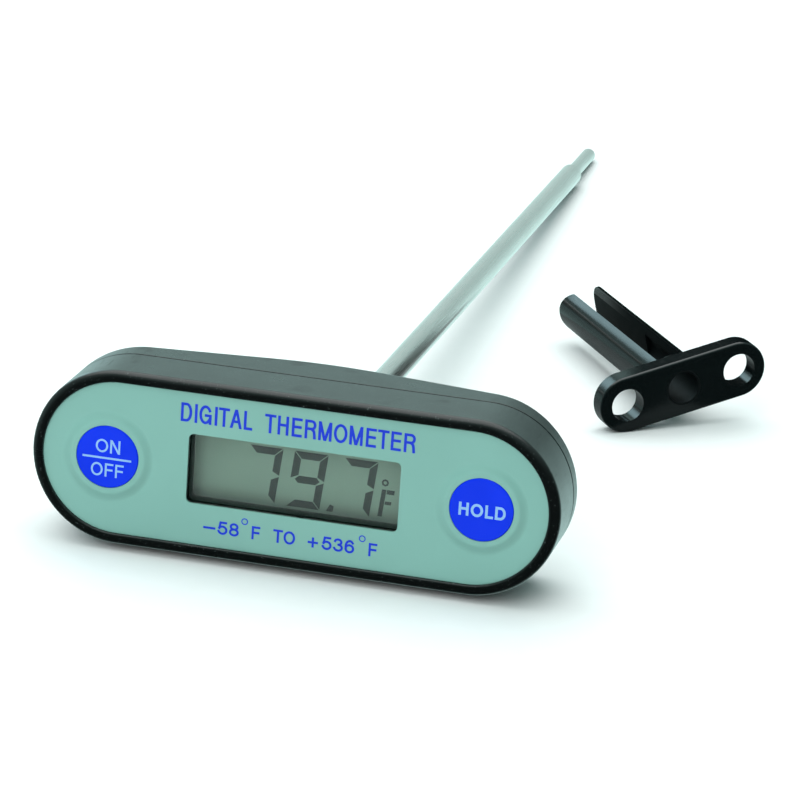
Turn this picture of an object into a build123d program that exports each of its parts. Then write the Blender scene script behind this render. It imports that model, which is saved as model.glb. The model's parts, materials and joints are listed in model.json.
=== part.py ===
from build123d import *
import os
from math import atan2, cos, degrees, radians, sin, tan

# T-handle digital probe thermometer for photographic chemistry, with its slotted stem clip.
# Millimetres. X runs along the head, Y runs back along the stem and Z is up. The origin is on the
# head's flat underside, below the stem's axis, at the middle of the front case's depth.

os.makedirs("parts", exist_ok=True)

# ---- Driving dimensions -------------------------------------------------------------------

# Head. Depths are measured back from the printed face.
SIDE_HALF = 26.0          # half the straight side of the stadium outline
CASE_R = 13.1             # end radius of the case
WALL = 1.7
LABEL_R = 11.4            # end radius of the printed face
LABEL_T = 0.35
BEAD_PROUD = 0.5          # how far the rim stands in front of the face
WALL_FRONT_BACK = 1.9     # depth of the front wall's inner side
PARTING_DEPTH = 9.2       # joint between the front and rear cases
RIDGE_DEPTH = 17.7        # the rounded crest along the middle of the back
RIDGE_R = 60.0
ROOF_SLOPE = 8.2          # degrees, each side of the crest
BEAD_OUTER_R = 1.1
BEAD_INNER_R = 0.4
PARTING_R = 0.12
PARTING_GAP = 0.22        # shadow gap between the cases, along Y
PARTING_GAP_DEPTH = 0.35
BACK_EDGE_R = 1.6
GASKET_OUTER_R = 12.45
GASKET_INNER_R = 11.8
GASKET_T = 0.7
FACE_Y = -5.0
STEM_Z = CASE_R

# Window and display
WINDOW_W = 31.4
WINDOW_H = 10.45
WINDOW_R = 0.8
LENS_W = 33.4
LENS_H = 12.4
LENS_R = 1.2
LENS_T = 1.0
LENS_SEAT_DEPTH = WALL_FRONT_BACK - LENS_T
FRAME_W = 38.0
FRAME_H = 17.0
TUNNEL_BACK = 4.0         # the display's front rests here
GLASS_W = 34.6
GLASS_H = 14.4
GLASS_T = 0.7
REAR_GLASS_H = 11.6
FILM_T = 0.2
ZEBRA_T = 1.3
FILM_MARGIN = 0.5         # glass left bare around a film, each side
REFLECTOR_MARGIN = 0.2    # the same above and below the reflector
SLIP = 0.05               # assembly gap each side of a loose insert

# Circuit board
BOARD_FRONT = 6.2
BOARD_T = 1.0
BOARD_BACK = BOARD_FRONT + BOARD_T
BOARD_LENGTH = 63.0
BOARD_R = 10.2
POST_X = 20.6
POST_Z = 8.2
POST_R = 1.5
BOARD_SCREW_R = 0.6
BOARD_SCREW_L = 3.0       # in the post
BOARD_HEAD_R = 1.2
BOARD_HEAD_T = 0.8
BOARD_HEAD_EDGE_R = 0.25
BLOB_X = -12.5
BLOB_R = 4.5
BLOB_T = 1.6
BLOB_EDGE_R = 1.3
CRYSTAL_X = -20.5
CRYSTAL_Z = 2.0
CRYSTAL_R = 1.0
CRYSTAL_L = 6.0
CRYSTAL_EDGE_R = 0.3
RESISTOR_L = 1.6
RESISTOR_W = 0.8
RESISTOR_T = 0.45
RESISTOR_PITCH = 1.5
CAPACITOR_L = 2.0
CAPACITOR_W = 1.25
CAPACITOR_T = 0.9
CHIP_COLUMN_X = -3.6      # parts between the chip and the stem
EDGE_COLUMN_X = -25.5     # parts near the board's end

# Keys: the cap's disc slides in the front wall and presses a tactile switch
KEY_X = 27.7
KEY_R = 4.67
KEY_GUIDE_R = 4.72
KEY_PROUD = 0.22
KEY_EDGE_R = 0.2
KEY_TRAVEL = 0.5
FLANGE_R = 5.0
FLANGE_FRONT = WALL_FRONT_BACK + SLIP
FLANGE_BACK = 2.45
PAD_TOP_R = 5.2           # embossed pad on the face around each key
PAD_FOOT_R = 6.4
PAD_PROUD = 0.12
PAD_BEND = 0.125          # how full the pad's two bends are, as a share of its height
SWITCH_SIDE = 6.0
SWITCH_COVER_FRONT = 3.3
SWITCH_COVER_T = 0.25
PLUNGER_R = 1.7
PLUNGER_BORE_R = 1.78
PLUNGER_BACK = 4.4
PLUNGER_ROOM = 0.2        # left below the plunger when it is pressed
COVER_HOLE_R = 1.93

# Case screws
SCREW_X = 35.0
SCREW_R = 1.0
SCREW_HEAD_R = 2.1
SCREW_SEAT_DEPTH = 11.5
SCREW_HEAD_T = 1.1
SCREW_HEAD_EDGE_R = 0.4
SCREW_CLEARANCE_R = 1.15
COUNTERBORE_R = 2.4
CROSS_L = 2.2
CROSS_W = 0.5
CROSS_DEPTH = 0.6
FRONT_BOSS_R = 2.0
REAR_BOSS_R = 3.3
BOSS_INSET = 0.4          # keeps a boss's root inside the rounded back
OVERLAP = 1.0             # how far a tool shape runs past what it cuts or joins
SCREW_TIP_DEPTH = 4.0

# Button cell and its bayonet cap
CELL_X = 16.5
CELL_R = 5.8
CELL_T = 5.4
CELL_LID_R = 4.9
CELL_LID_T = 0.3
CELL_EDGE_R = 0.5
CELL_FRONT = 7.6
CELL_BACK = CELL_FRONT + CELL_T
CONTACT_W = 3.0
STRIP_T = 0.2
CONTACT_TOP_DEPTH = 10.8
CONTACT_FOOT_L = 2.4
SPRING_REACH = 2.5        # half the flat of the negative contact, and its foot's length
SPRING_RISE = 2.0         # run of its sloping part
CAP_SEAT_DEPTH = 13.65
CAP_SEAT_GAP = 0.03
CAP_BOSS_R = 9.8
CAP_T = 1.0
CAP_FLANGE_R = 8.3
CAP_RECESS_R = 8.6
CAP_EDGE_R = 0.25
CAP_PLUG_R = 7.53
CAP_BORE_R = 7.6
CAP_CUP_R = 6.1
CAP_PLUG_FRONT = 11.4
PAD_FRONT = 12.4          # inner side of the wall that the lugs hold
LUG_R = 8.45
LUG_W = 3.0
LUG_T = 0.6
NOTCH_R = 8.8
NOTCH_W = 3.8
LOCK_ANGLE = 60.0         # turn from locked to the notches, to the left seen from behind
CAP_RING_R = 7.17
CAP_RING_SECTION_R = 0.38
CAP_RING_DEPTH = 12.95
PAD_R = 5.2
COIN_SLOT_L = 10.0
COIN_SLOT_W = 1.6
COIN_SLOT_DEPTH = 0.6
COIN_SLOT_ANGLE = 30.0

# Stem
STEM_R = 2.0
STEM_BORE_R = 1.5
SEAT_R = 1.8              # the tube's end that is held in the head
SEAT_END_DEPTH = 11.0
COLLAR_R = 3.3
COLLAR_DEPTH = 18.2
COLLAR_EDGE_R = 0.35
COLLAR_ROOT = 0.5         # how deep the collar is rooted in the crest
STEM_END_DEPTH = 195.0
BOSS_R = 4.2
BOSS_FRONT = 12.3
FERRULE_R = 3.1
STEM_RING_SECTION_R = 0.5
STEM_RING_R = SEAT_R + STEM_RING_SECTION_R + 0.03
TIP_R = 1.3
TIP_BORE_R = 1.0
TIP_NECK_DEPTH = 197.2
TIP_CONE_DEPTH = 213.0
TIP_END_DEPTH = 214.6
TIP_NOSE_R = 0.55
SHOULDER_STRAIGHT = 1.2
SHOULDER_BEND_IN = 0.22   # a point on the shoulder's curve, in from its start and along from it
SHOULDER_BEND_ON = 0.62
SPIGOT_DEPTH = 191.0
SENSOR_DEPTH = 209.5
SENSOR_R = 0.8
SENSOR_L = 2.4
SENSOR_END_R = 0.6
POTTING_L = 5.0
FILLER_DEPTH = 205.0
LEAD_R = 0.25
LEAD_X = 0.5

# Clip
CLIP_HOLE_X = 9.75        # end holes, from the middle of the plate
CLIP_PLATE_R = 4.6
CLIP_PLATE_T = 3.1
CLIP_PLATE_EDGE_R = 0.45
CLIP_END_HOLE_R = 2.7
CLIP_BORE_R = 2.6
CLIP_SLEEVE_ROOT_R = 4.4
CLIP_SLEEVE_TIP_R = 4.35
CLIP_SLEEVE_L = 38.4
CLIP_TROUGH_R = 2.8       # round bore behind the plate, closed below
CLIP_TROUGH_L = 16.5
CLIP_SLOT_W = 4.2         # open at the top all along, and right through past the trough
CLIP_SLOT_START = 0.8     # behind the plate
CLIP_PRONG_HALF = 3.85     # half the height of the prongs, seen from the flank
CLIP_PRONG_END_L = 8.0
CLIP_PRONG_END_R = 3.2    # rounding of the prongs' free corners

# Where the clip lies beside the thermometer, on the bench that the head's heel and the tip touch
CLIP_BENCH_X = 42.8
CLIP_BENCH_Y = 63.4
CLIP_YAW = 34.3
CLIP_LEAN = 13.0
CLIP_DROOP = 1.1
HEEL_DEPTH = 16.2


def at_depth(depth):
    """Plane across the head at a depth behind the face; its normal points to the front."""
    return Plane(origin=(0, FACE_Y + depth, STEM_Z), x_dir=(1, 0, 0), z_dir=(0, -1, 0))


# ---- Case ---------------------------------------------------------------------------------

with BuildPart() as front_case:
    with BuildSketch(at_depth(PARTING_DEPTH)):
        SlotCenterToCenter(2 * SIDE_HALF, 2 * CASE_R)
    extrude(amount=PARTING_DEPTH + BEAD_PROUD)
    fillet(front_case.edges().group_by(Axis.Y)[0], radius=BEAD_OUTER_R)
    # shadow gap at the joint
    with BuildSketch(at_depth(PARTING_DEPTH)):
        SlotCenterToCenter(2 * SIDE_HALF, 2 * (CASE_R + OVERLAP))
        SlotCenterToCenter(2 * SIDE_HALF, 2 * (CASE_R - PARTING_GAP_DEPTH), mode=Mode.SUBTRACT)
    extrude(amount=PARTING_GAP, mode=Mode.SUBTRACT)
    gap_side = front_case.faces().filter_by(Axis.Y).sort_by(Axis.Y)[-2]
    fillet(gap_side.outer_wire().edges(), radius=PARTING_R)
    # seat for the printed face, leaving the bead around it
    with BuildSketch(at_depth(LABEL_T)):
        SlotCenterToCenter(2 * SIDE_HALF, 2 * LABEL_R)
    extrude(amount=LABEL_T + BEAD_PROUD, mode=Mode.SUBTRACT)
    fillet(front_case.edges().group_by(Axis.Y)[0], radius=BEAD_INNER_R)
    # hollow inside
    with BuildSketch(at_depth(PARTING_DEPTH)):
        SlotCenterToCenter(2 * SIDE_HALF, 2 * (CASE_R - WALL))
    extrude(amount=PARTING_DEPTH - WALL_FRONT_BACK, mode=Mode.SUBTRACT)
    # bosses for the case screws and posts for the board, drilled for their threads
    with BuildSketch(at_depth(PARTING_DEPTH)):
        with Locations((-SCREW_X, 0), (SCREW_X, 0)):
            Circle(FRONT_BOSS_R)
    extrude(amount=PARTING_DEPTH - WALL_FRONT_BACK)
    with BuildSketch(at_depth(BOARD_FRONT)):
        with GridLocations(2 * POST_X, 2 * POST_Z, 2, 2):
            Circle(POST_R)
    extrude(amount=BOARD_FRONT - WALL_FRONT_BACK)
    with BuildSketch(at_depth(PARTING_DEPTH)):
        with Locations((-SCREW_X, 0), (SCREW_X, 0)):
            Circle(SCREW_R)
    extrude(amount=PARTING_DEPTH - SCREW_TIP_DEPTH, mode=Mode.SUBTRACT)
    with BuildSketch(at_depth(BOARD_FRONT)):
        with GridLocations(2 * POST_X, 2 * POST_Z, 2, 2):
            Circle(BOARD_SCREW_R)
    extrude(amount=BOARD_SCREW_L, mode=Mode.SUBTRACT)
    # window opening with a seat for the lens behind it, and the guides of the keys
    with BuildSketch(at_depth(WALL_FRONT_BACK)):
        RectangleRounded(WINDOW_W, WINDOW_H, WINDOW_R)
        with Locations((-KEY_X, 0), (KEY_X, 0)):
            Circle(KEY_GUIDE_R)
    extrude(amount=WALL_FRONT_BACK, mode=Mode.SUBTRACT)
    with BuildSketch(at_depth(WALL_FRONT_BACK)):
        RectangleRounded(LENS_W, LENS_H, LENS_R)
    extrude(amount=LENS_T, mode=Mode.SUBTRACT)
    # groove for the gasket in the joint face
    with BuildSketch(at_depth(PARTING_DEPTH)):
        SlotCenterToCenter(2 * SIDE_HALF, 2 * GASKET_OUTER_R)
        SlotCenterToCenter(2 * SIDE_HALF, 2 * GASKET_INNER_R, mode=Mode.SUBTRACT)
    extrude(amount=GASKET_T, mode=Mode.SUBTRACT)
front_case.part.label = "front_case"
export_step(front_case.part, "parts/front_case.step")

with BuildPart() as case_gasket:
    with BuildSketch(at_depth(PARTING_DEPTH)):
        SlotCenterToCenter(2 * SIDE_HALF, 2 * GASKET_OUTER_R)
        SlotCenterToCenter(2 * SIDE_HALF, 2 * GASKET_INNER_R, mode=Mode.SUBTRACT)
    extrude(amount=GASKET_T)
case_gasket.part.label = "case_gasket"
export_step(case_gasket.part, "parts/case_gasket.step")


def rear_volume(inset):
    """The roof-backed space of the rear case, drawn in by the given thickness."""
    apex = RIDGE_DEPTH - inset + RIDGE_R * (1 / cos(radians(ROOF_SLOPE)) - 1)
    half = SIDE_HALF + CASE_R + OVERLAP
    eaves = apex - half * tan(radians(ROOF_SLOPE))
    with BuildPart() as volume:
        with BuildSketch(at_depth(RIDGE_DEPTH + OVERLAP)):
            SlotCenterToCenter(2 * SIDE_HALF, 2 * (CASE_R - inset))
        extrude(amount=RIDGE_DEPTH + OVERLAP - PARTING_DEPTH)
        with BuildSketch(Plane.XY.offset(-OVERLAP)) as roof:
            with BuildLine():
                Polyline(
                    (-half, FACE_Y),
                    (half, FACE_Y),
                    (half, FACE_Y + eaves),
                    (0, FACE_Y + apex),
                    (-half, FACE_Y + eaves),
                    close=True,
                )
            make_face()
            fillet(roof.vertices().sort_by(Axis.Y)[-1], radius=RIDGE_R)
        extrude(amount=2 * (CASE_R + OVERLAP), mode=Mode.INTERSECT)
    return volume.part


def rear_boss(x, radius, front):
    """A round boss standing forward from the back of the rear case."""
    with BuildPart() as boss:
        with BuildSketch(at_depth(RIDGE_DEPTH)):
            with Locations((x, 0)):
                Circle(radius)
        extrude(amount=RIDGE_DEPTH - front)
        add(rear_volume(BOSS_INSET), mode=Mode.INTERSECT)
    return boss.part


with BuildPart() as rear_case:
    add(rear_volume(0))
    back_edges = rear_case.edges().filter_by_position(
        Axis.Y, FACE_Y + SCREW_SEAT_DEPTH, FACE_Y + RIDGE_DEPTH
    )
    fillet(back_edges.filter_by(Axis.Z, reverse=True), radius=BACK_EDGE_R)
    fillet(rear_case.edges().group_by(Axis.Y)[0], radius=PARTING_R)
    add(rear_volume(WALL), mode=Mode.SUBTRACT)
    add(rear_boss(0, BOSS_R, BOSS_FRONT))
    add(rear_boss(CELL_X, CAP_BOSS_R, PAD_FRONT))
    add(rear_boss(-SCREW_X, REAR_BOSS_R, PARTING_DEPTH))
    add(rear_boss(SCREW_X, REAR_BOSS_R, PARTING_DEPTH))
    # screw holes, counterbored from the back
    with BuildSketch(at_depth(SCREW_SEAT_DEPTH)):
        with Locations((-SCREW_X, 0), (SCREW_X, 0)):
            Circle(SCREW_CLEARANCE_R)
    extrude(amount=SCREW_SEAT_DEPTH - PARTING_DEPTH, mode=Mode.SUBTRACT)
    with BuildSketch(at_depth(RIDGE_DEPTH)):
        with Locations((-SCREW_X, 0), (SCREW_X, 0)):
            Circle(COUNTERBORE_R)
    extrude(amount=RIDGE_DEPTH - SCREW_SEAT_DEPTH, mode=Mode.SUBTRACT)
    # recess, bore and bayonet notches of the battery cap
    with BuildSketch(at_depth(RIDGE_DEPTH)):
        with Locations((CELL_X, 0)):
            Circle(CAP_RECESS_R)
    extrude(amount=RIDGE_DEPTH - CAP_SEAT_DEPTH, mode=Mode.SUBTRACT)
    with BuildSketch(at_depth(CAP_SEAT_DEPTH)):
        with Locations((CELL_X, 0)):
            Circle(CAP_BORE_R)
            Circle(NOTCH_R)
        with Locations(Location((CELL_X, 0), -LOCK_ANGLE)):
            Rectangle(2 * NOTCH_R, NOTCH_W, mode=Mode.INTERSECT)
        with Locations((CELL_X, 0)):
            Circle(CAP_BORE_R)
    extrude(amount=CAP_SEAT_DEPTH - PAD_FRONT, mode=Mode.SUBTRACT)
    # outside collar and the stem's seat, with a pocket for its sealing ring
    with BuildSketch(at_depth(COLLAR_DEPTH)):
        Circle(COLLAR_R)
    extrude(amount=COLLAR_DEPTH - RIDGE_DEPTH + COLLAR_ROOT)
    fillet(rear_case.edges().group_by(Axis.Y)[-1], radius=COLLAR_EDGE_R)
    with BuildSketch(at_depth(COLLAR_DEPTH)):
        Circle(SEAT_R)
    extrude(amount=COLLAR_DEPTH - BOSS_FRONT, mode=Mode.SUBTRACT)
    with BuildSketch(at_depth(BOSS_FRONT + 2 * STEM_RING_SECTION_R)):
        Circle(FERRULE_R)
    extrude(amount=2 * STEM_RING_SECTION_R, mode=Mode.SUBTRACT)
rear_case.part.label = "rear_case"
export_step(rear_case.part, "parts/rear_case.step")

with BuildPart() as case_screws:
    with BuildSketch(at_depth(SCREW_SEAT_DEPTH)):
        with Locations((-SCREW_X, 0), (SCREW_X, 0)):
            Circle(SCREW_R)
    extrude(amount=SCREW_SEAT_DEPTH - SCREW_TIP_DEPTH)
    with BuildSketch(at_depth(SCREW_SEAT_DEPTH + SCREW_HEAD_T)):
        with Locations((-SCREW_X, 0), (SCREW_X, 0)):
            Circle(SCREW_HEAD_R)
    extrude(amount=SCREW_HEAD_T)
    fillet(case_screws.edges().group_by(Axis.Y)[-1], radius=SCREW_HEAD_EDGE_R)
    with BuildSketch(at_depth(SCREW_SEAT_DEPTH + SCREW_HEAD_T)):
        with Locations((-SCREW_X, 0), (SCREW_X, 0)):
            Rectangle(CROSS_L, CROSS_W)
            Rectangle(CROSS_W, CROSS_L)
    extrude(amount=CROSS_DEPTH, mode=Mode.SUBTRACT)
case_screws.part.label = "case_screws"
export_step(case_screws.part, "parts/case_screws.step")


# ---- Face ---------------------------------------------------------------------------------

with BuildPart() as face_label:
    with BuildSketch(at_depth(LABEL_T)):
        SlotCenterToCenter(2 * SIDE_HALF, 2 * LABEL_R)
        RectangleRounded(WINDOW_W, WINDOW_H, WINDOW_R, mode=Mode.SUBTRACT)
        with Locations((-KEY_X, 0), (KEY_X, 0)):
            Circle(KEY_GUIDE_R, mode=Mode.SUBTRACT)
    extrude(amount=LABEL_T)
    # embossed pad around each key: a flat top and a slope with two soft bends
    for key_x in (-KEY_X, KEY_X):
        pad_section = Plane(origin=(key_x, FACE_Y, STEM_Z), x_dir=(1, 0, 0), z_dir=(0, 0, 1))
        slope_r = (PAD_TOP_R + PAD_FOOT_R) / 2
        with BuildSketch(pad_section):
            with BuildLine():
                Line((PAD_FOOT_R, 0), (KEY_GUIDE_R, 0))
                Line((KEY_GUIDE_R, 0), (KEY_GUIDE_R, -PAD_PROUD))
                Line((KEY_GUIDE_R, -PAD_PROUD), (PAD_TOP_R, -PAD_PROUD))
                ThreePointArc(
                    (PAD_TOP_R, -PAD_PROUD),
                    ((PAD_TOP_R + slope_r) / 2, -PAD_PROUD * (1 - PAD_BEND)),
                    (slope_r, -PAD_PROUD / 2),
                )
                ThreePointArc(
                    (slope_r, -PAD_PROUD / 2),
                    ((slope_r + PAD_FOOT_R) / 2, -PAD_PROUD * PAD_BEND),
                    (PAD_FOOT_R, 0),
                )
            make_face()
        revolve(axis=Axis((key_x, 0, STEM_Z), (0, 1, 0)))
face_label.part.label = "face_label"
export_step(face_label.part, "parts/face_label.step")

with BuildPart() as window_lens:
    with BuildSketch(at_depth(WALL_FRONT_BACK)):
        RectangleRounded(LENS_W, LENS_H, LENS_R)
    extrude(amount=LENS_T)
window_lens.part.label = "window_lens"
export_step(window_lens.part, "parts/window_lens.step")


# ---- Keys and their switches ---------------------------------------------------------------

for key_name, key_x in (("on_off", -KEY_X), ("hold", KEY_X)):
    with BuildPart() as key:
        with BuildSketch(at_depth(FLANGE_FRONT)):
            with Locations((key_x, 0)):
                Circle(KEY_R)
        extrude(amount=FLANGE_FRONT + KEY_PROUD)
        fillet(key.edges().group_by(Axis.Y)[0], radius=KEY_EDGE_R)
        with BuildSketch(at_depth(FLANGE_BACK)):
            with Locations((key_x, 0)):
                Circle(FLANGE_R)
        extrude(amount=FLANGE_BACK - FLANGE_FRONT)
    key.part.label = f"{key_name}_key"
    export_step(key.part, f"parts/{key_name}_key.step")

    with BuildPart() as plunger:
        with BuildSketch(at_depth(PLUNGER_BACK)):
            with Locations((key_x, 0)):
                Circle(PLUNGER_R)
        extrude(amount=PLUNGER_BACK - FLANGE_BACK)
    plunger.part.label = f"{key_name}_plunger"
    export_step(plunger.part, f"parts/{key_name}_plunger.step")

    with BuildPart() as switch_cover:
        with BuildSketch(at_depth(SWITCH_COVER_FRONT + SWITCH_COVER_T)):
            with Locations((key_x, 0)):
                Rectangle(SWITCH_SIDE, SWITCH_SIDE)
                Circle(COVER_HOLE_R, mode=Mode.SUBTRACT)
        extrude(amount=SWITCH_COVER_T)
    switch_cover.part.label = f"{key_name}_switch_cover"
    export_step(switch_cover.part, f"parts/{key_name}_switch_cover.step")

    with BuildPart() as switch_base:
        with BuildSketch(at_depth(BOARD_FRONT)):
            with Locations((key_x, 0)):
                Rectangle(SWITCH_SIDE, SWITCH_SIDE)
        extrude(amount=BOARD_FRONT - SWITCH_COVER_FRONT - SWITCH_COVER_T)
        with BuildSketch(at_depth(PLUNGER_BACK + KEY_TRAVEL + PLUNGER_ROOM)):
            with Locations((key_x, 0)):
                Circle(PLUNGER_BORE_R)
        extrude(amount=PLUNGER_BACK, mode=Mode.SUBTRACT)
    switch_base.part.label = f"{key_name}_switch_base"
    export_step(switch_base.part, f"parts/{key_name}_switch_base.step")


# ---- Display ------------------------------------------------------------------------------

REFLECTOR_BACK = TUNNEL_BACK + 2 * GLASS_T + 2 * FILM_T
LEDGE_DEPTH = TUNNEL_BACK + FILM_T + GLASS_T
ZEBRA_Z = (REAR_GLASS_H + GLASS_H) / 4 + SLIP

with BuildPart() as lcd_frame:
    with BuildSketch(at_depth(BOARD_FRONT)):
        RectangleRounded(FRAME_W, FRAME_H, LENS_R)
    extrude(amount=BOARD_FRONT - WALL_FRONT_BACK)
    with BuildSketch(at_depth(BOARD_FRONT)):
        Rectangle(GLASS_W + 2 * SLIP, GLASS_H + 2 * SLIP)
    extrude(amount=BOARD_FRONT - TUNNEL_BACK, mode=Mode.SUBTRACT)
    with BuildSketch(at_depth(TUNNEL_BACK)):
        RectangleRounded(WINDOW_W, WINDOW_H, WINDOW_R)
    extrude(amount=TUNNEL_BACK, mode=Mode.SUBTRACT)
lcd_frame.part.label = "lcd_frame"
export_step(lcd_frame.part, "parts/lcd_frame.step")

with BuildPart() as lcd_front_polariser:
    with BuildSketch(at_depth(TUNNEL_BACK + FILM_T)):
        Rectangle(GLASS_W - 2 * FILM_MARGIN, GLASS_H - 2 * FILM_MARGIN)
    extrude(amount=FILM_T)
lcd_front_polariser.part.label = "lcd_front_polariser"
export_step(lcd_front_polariser.part, "parts/lcd_front_polariser.step")

with BuildPart() as lcd_front_glass:
    with BuildSketch(at_depth(LEDGE_DEPTH)):
        Rectangle(GLASS_W, GLASS_H)
    extrude(amount=GLASS_T)
lcd_front_glass.part.label = "lcd_front_glass"
export_step(lcd_front_glass.part, "parts/lcd_front_glass.step")

with BuildPart() as lcd_rear_glass:
    with BuildSketch(at_depth(LEDGE_DEPTH + GLASS_T)):
        Rectangle(GLASS_W, REAR_GLASS_H)
    extrude(amount=GLASS_T)
lcd_rear_glass.part.label = "lcd_rear_glass"
export_step(lcd_rear_glass.part, "parts/lcd_rear_glass.step")

with BuildPart() as lcd_reflector:
    with BuildSketch(at_depth(REFLECTOR_BACK)):
        Rectangle(GLASS_W - 2 * FILM_MARGIN, REAR_GLASS_H - 2 * REFLECTOR_MARGIN)
    extrude(amount=FILM_T)
lcd_reflector.part.label = "lcd_reflector"
export_step(lcd_reflector.part, "parts/lcd_reflector.step")

for strip_name, strip_z in (("upper", ZEBRA_Z), ("lower", -ZEBRA_Z)):
    with BuildPart() as zebra_strip:
        with BuildSketch(at_depth(BOARD_FRONT)):
            with Locations((0, strip_z)):
                Rectangle(GLASS_W - 4 * FILM_MARGIN, ZEBRA_T)
        extrude(amount=BOARD_FRONT - LEDGE_DEPTH)
    zebra_strip.part.label = f"zebra_strip_{strip_name}"
    export_step(zebra_strip.part, f"parts/zebra_strip_{strip_name}.step")


# ---- Circuit board ------------------------------------------------------------------------

with BuildPart() as circuit_board:
    with BuildSketch(at_depth(BOARD_BACK)):
        Rectangle(BOARD_LENGTH, 2 * BOARD_R)
        SlotCenterToCenter(2 * SIDE_HALF, 2 * BOARD_R, mode=Mode.INTERSECT)
        with GridLocations(2 * POST_X, 2 * POST_Z, 2, 2):
            Circle(BOARD_SCREW_R, mode=Mode.SUBTRACT)
    extrude(amount=BOARD_T)
circuit_board.part.label = "circuit_board"
export_step(circuit_board.part, "parts/circuit_board.step")

with BuildPart() as board_screws:
    with BuildSketch(at_depth(BOARD_BACK)):
        with GridLocations(2 * POST_X, 2 * POST_Z, 2, 2):
            Circle(BOARD_SCREW_R)
    extrude(amount=BOARD_T + BOARD_SCREW_L)
    with BuildSketch(at_depth(BOARD_BACK + BOARD_HEAD_T)):
        with GridLocations(2 * POST_X, 2 * POST_Z, 2, 2):
            Circle(BOARD_HEAD_R)
    extrude(amount=BOARD_HEAD_T)
    fillet(board_screws.edges().group_by(Axis.Y)[-1], radius=BOARD_HEAD_EDGE_R)
board_screws.part.label = "board_screws"
export_step(board_screws.part, "parts/board_screws.step")

with BuildPart() as chip_blob:
    with BuildSketch(at_depth(BOARD_BACK + BLOB_T)):
        with Locations((BLOB_X, 0)):
            Circle(BLOB_R)
    extrude(amount=BLOB_T)
    fillet(chip_blob.edges().group_by(Axis.Y)[-1], radius=BLOB_EDGE_R)
chip_blob.part.label = "chip_blob"
export_step(chip_blob.part, "parts/chip_blob.step")

with BuildPart() as crystal:
    with BuildSketch(Plane.XY.offset(STEM_Z + CRYSTAL_Z - CRYSTAL_L / 2)):
        with Locations((CRYSTAL_X, FACE_Y + BOARD_BACK + CRYSTAL_R)):
            Circle(CRYSTAL_R)
    extrude(amount=CRYSTAL_L)
    fillet(crystal.edges().group_by(Axis.Z)[-1], radius=CRYSTAL_EDGE_R)
crystal.part.label = "crystal"
export_step(crystal.part, "parts/crystal.step")

with BuildPart() as board_resistors:
    with BuildSketch(at_depth(BOARD_BACK + RESISTOR_T)):
        with Locations((CHIP_COLUMN_X, -6.2)):
            with GridLocations(0, RESISTOR_PITCH, 1, 3):
                Rectangle(RESISTOR_L, RESISTOR_W)
        with Locations((EDGE_COLUMN_X, 4.0)):
            with GridLocations(0, RESISTOR_PITCH, 1, 2):
                Rectangle(RESISTOR_L, RESISTOR_W)
    extrude(amount=RESISTOR_T)
board_resistors.part.label = "board_resistors"
export_step(board_resistors.part, "parts/board_resistors.step")

with BuildPart() as board_capacitors:
    with BuildSketch(at_depth(BOARD_BACK + CAPACITOR_T)):
        with Locations((CHIP_COLUMN_X, 5.5), (CHIP_COLUMN_X, 7.6), (EDGE_COLUMN_X, -3.5)):
            Rectangle(CAPACITOR_L, CAPACITOR_W)
    extrude(amount=CAPACITOR_T)
board_capacitors.part.label = "board_capacitors"
export_step(board_capacitors.part, "parts/board_capacitors.step")


# ---- Battery ------------------------------------------------------------------------------

with BuildPart() as button_cell:
    with BuildSketch(at_depth(CELL_BACK)):
        with Locations((CELL_X, 0)):
            Circle(CELL_R)
    extrude(amount=CELL_T - CELL_LID_T)
    fillet(button_cell.edges().group_by(Axis.Y)[-1], radius=CELL_EDGE_R)
    with BuildSketch(at_depth(CELL_FRONT + CELL_LID_T)):
        with Locations((CELL_X, 0)):
            Circle(CELL_LID_R)
    extrude(amount=CELL_LID_T)
button_cell.part.label = "button_cell"
export_step(button_cell.part, "parts/button_cell.step")

with BuildPart() as battery_negative_contact:
    with BuildSketch(Plane.XY.offset(STEM_Z - CONTACT_W / 2)):
        with BuildLine():
            board_y = FACE_Y + BOARD_BACK
            cell_y = FACE_Y + CELL_FRONT
            Polyline(
                (CELL_X - SPRING_RISE - SPRING_REACH, board_y),
                (CELL_X - SPRING_RISE, board_y),
                (CELL_X, cell_y - STRIP_T),
                (CELL_X + SPRING_REACH, cell_y - STRIP_T),
                (CELL_X + SPRING_REACH, cell_y),
                (CELL_X - STRIP_T, cell_y),
                (CELL_X - SPRING_RISE - STRIP_T, board_y + STRIP_T),
                (CELL_X - SPRING_RISE - SPRING_REACH, board_y + STRIP_T),
                close=True,
            )
        make_face()
    extrude(amount=CONTACT_W)
battery_negative_contact.part.label = "battery_negative_contact"
export_step(battery_negative_contact.part, "parts/battery_negative_contact.step")

with BuildPart() as battery_positive_contact:
    with BuildSketch(Plane.XY.offset(STEM_Z - CONTACT_W / 2)):
        with BuildLine():
            can_x = CELL_X - CELL_R
            Polyline(
                (can_x, board_y),
                (can_x, FACE_Y + CONTACT_TOP_DEPTH),
                (can_x - STRIP_T, FACE_Y + CONTACT_TOP_DEPTH),
                (can_x - STRIP_T, board_y + STRIP_T),
                (can_x - CONTACT_FOOT_L, board_y + STRIP_T),
                (can_x - CONTACT_FOOT_L, board_y),
                close=True,
            )
        make_face()
    extrude(amount=CONTACT_W)
battery_positive_contact.part.label = "battery_positive_contact"
export_step(battery_positive_contact.part, "parts/battery_positive_contact.step")

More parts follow.
